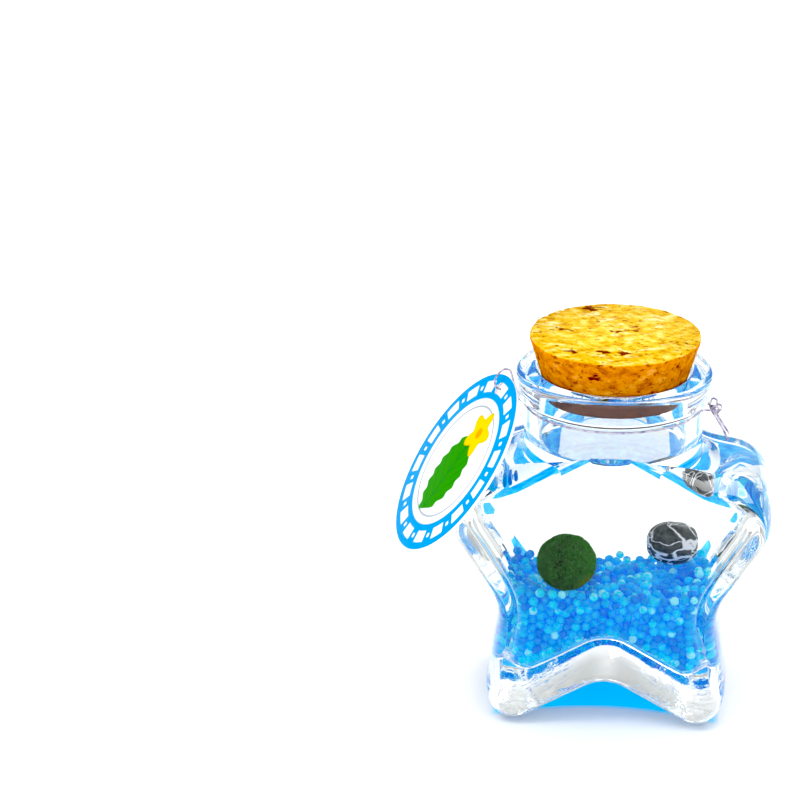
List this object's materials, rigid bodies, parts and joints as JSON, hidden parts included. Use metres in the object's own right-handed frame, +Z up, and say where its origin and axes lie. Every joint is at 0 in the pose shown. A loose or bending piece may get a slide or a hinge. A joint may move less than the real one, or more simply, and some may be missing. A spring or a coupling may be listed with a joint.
{
  "type": "marimo moss ball",
  "caption": "Green moss ball on a bed of small blue beads in a water-filled star-shaped glass jar with a cork, a black pebble and a round paper tag on a thread",
  "frame": {"origin": "bottom centre of the jar, on the table under the middle of the neck; the tag and its thread are not counted", "axes": "+Z up through the neck and cork, -Y out of the flat front of the star, +X to the right of a viewer who faces the front"},
  "size_m": [0.0849, 0.0527, 0.0883],
  "materials": {
    "clear_glass": "clear, smooth",
    "cork": "pressed cork granules, matte",
    "water": "clear liquid",
    "azure_beads": "translucent, glossy",
    "moss": "velvety algae threads",
    "black_stone": "tumbled, satin, white veins",
    "printed_card": "printed card",
    "nylon_thread": "thin clear nylon"
  },
  "bodies": {
    "root": {"glass_jar": "clear_glass", "cork_stopper": "cork", "water": "water", "bead_bed": "azure_beads", "moss_ball": "moss", "black_pebble": "black_stone", "hang_tag": "printed_card", "tag_thread": "nylon_thread"}
  },
  "joints": []
}
